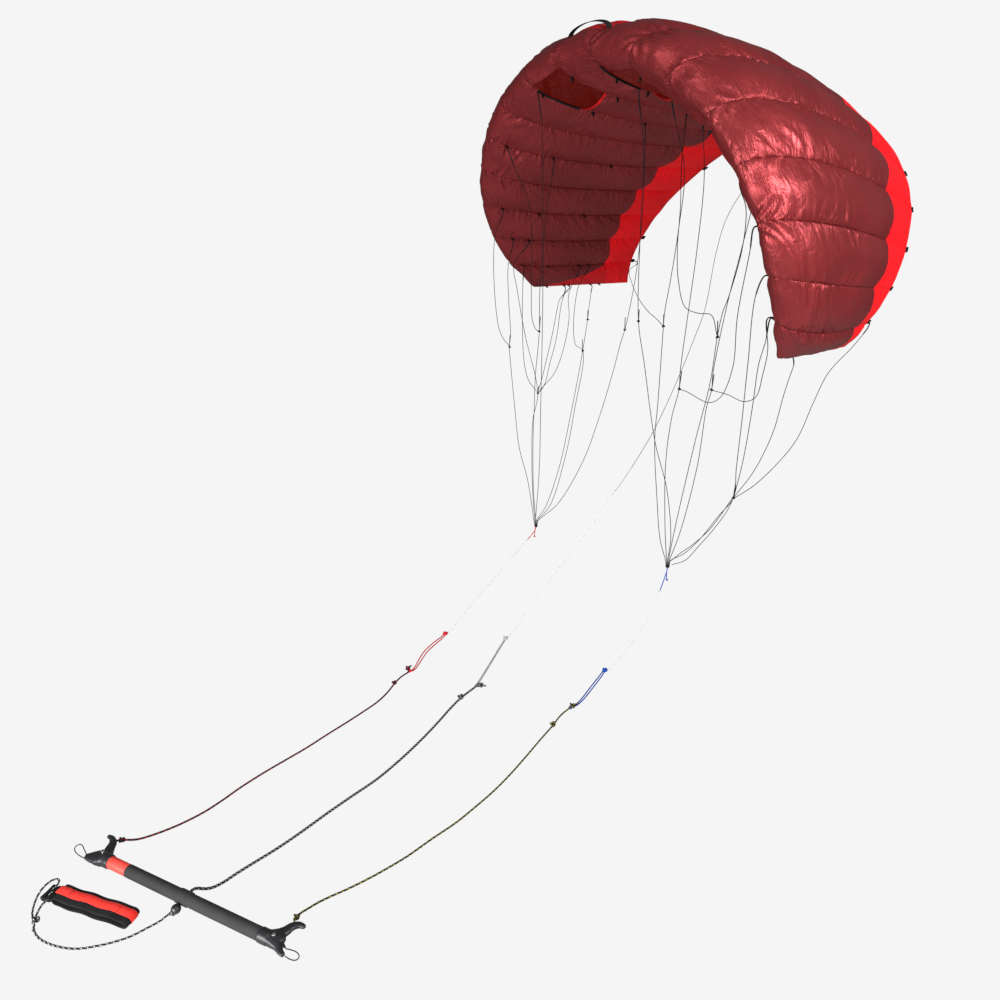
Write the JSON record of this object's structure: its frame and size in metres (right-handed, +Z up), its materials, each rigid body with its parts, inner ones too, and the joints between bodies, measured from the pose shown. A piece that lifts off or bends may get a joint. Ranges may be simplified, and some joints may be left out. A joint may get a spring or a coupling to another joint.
{
  "type": "power kite",
  "caption": "Inflated two-line power kite: arched cell canopy with open air intakes, bridle, flying lines, foam control bar with horned end fittings, leash and wrist strap.",
  "frame": {"origin": "highest point inside the webbing hang loop on top of the middle cell", "axes": "+Z up, +Y from the nose of the canopy to its tail, +X across the span towards the right tip"},
  "size_m": [1.5859, 3.0336, 2.1344],
  "materials": {
    "burgundy_nylon": "coated ripstop, soft sheen",
    "red_nylon": "coated ripstop, matte",
    "black_webbing": "woven",
    "red_webbing": "woven",
    "black_padding": "brushed knit over padding",
    "bridle_cord": "braided",
    "white_cord": "braided",
    "red_cord": "braided",
    "blue_cord": "braided",
    "grey_cord": "braided",
    "leader_rope": "braided with a coloured tracer",
    "grip_foam": "fine foam, matte",
    "red_sleeve": "satin",
    "black_plastic": "moulded, satin"
  },
  "bodies": {
    "root": {"front_cell_1": "burgundy_nylon", "front_cell_2": "burgundy_nylon", "front_cell_3": "burgundy_nylon", "front_cell_4": "burgundy_nylon", "front_cell_5": "burgundy_nylon", "front_cell_6": "burgundy_nylon", "front_cell_7": "burgundy_nylon", "front_cell_8": "burgundy_nylon", "front_cell_9": "burgundy_nylon", "front_cell_10": "burgundy_nylon", "front_cell_11": "burgundy_nylon", "front_cell_12": "burgundy_nylon", "front_cell_13": "burgundy_nylon", "front_cell_14": "burgundy_nylon", "front_cell_15": "burgundy_nylon", "front_cell_16": "burgundy_nylon", "front_cell_17": "burgundy_nylon", "rear_panels": "red_nylon", "hang_loop": "black_webbing", "intake_binding_left": "black_webbing", "intake_binding_right": "black_webbing", "bridle_left_1": "bridle_cord", "bridle_left_2": "bridle_cord", "bridle_left_3": "bridle_cord", "bridle_left_4": "bridle_cord", "bridle_left_5": "bridle_cord", "bridle_left_6": "bridle_cord", "bridle_left_7": "bridle_cord", "bridle_right_1": "bridle_cord", "bridle_right_2": "bridle_cord", "bridle_right_3": "bridle_cord", "bridle_right_4": "bridle_cord", "bridle_right_5": "bridle_cord", "bridle_right_6": "bridle_cord", "bridle_right_7": "bridle_cord", "bridle_right_8": "bridle_cord", "bridle_right_9": "bridle_cord", "knot_left": "bridle_cord", "knot_right": "bridle_cord", "line_left": "white_cord", "line_right": "white_cord", "line_middle": "bridle_cord", "loop_left": "red_cord", "loop_right": "blue_cord", "loop_middle": "grey_cord", "leader_left": "leader_rope", "leader_middle": "leader_rope", "leader_right": "leader_rope", "grip": "grip_foam", "red_sleeve": "red_sleeve", "end_fitting_left": "black_plastic", "end_fitting_right": "black_plastic", "elastic_left": "bridle_cord", "elastic_right": "bridle_cord", "stopper_ball": "black_plastic", "leash": "leader_rope", "cuff": "black_padding", "webbing": "red_webbing", "slider": "black_padding"}
  },
  "joints": []
}
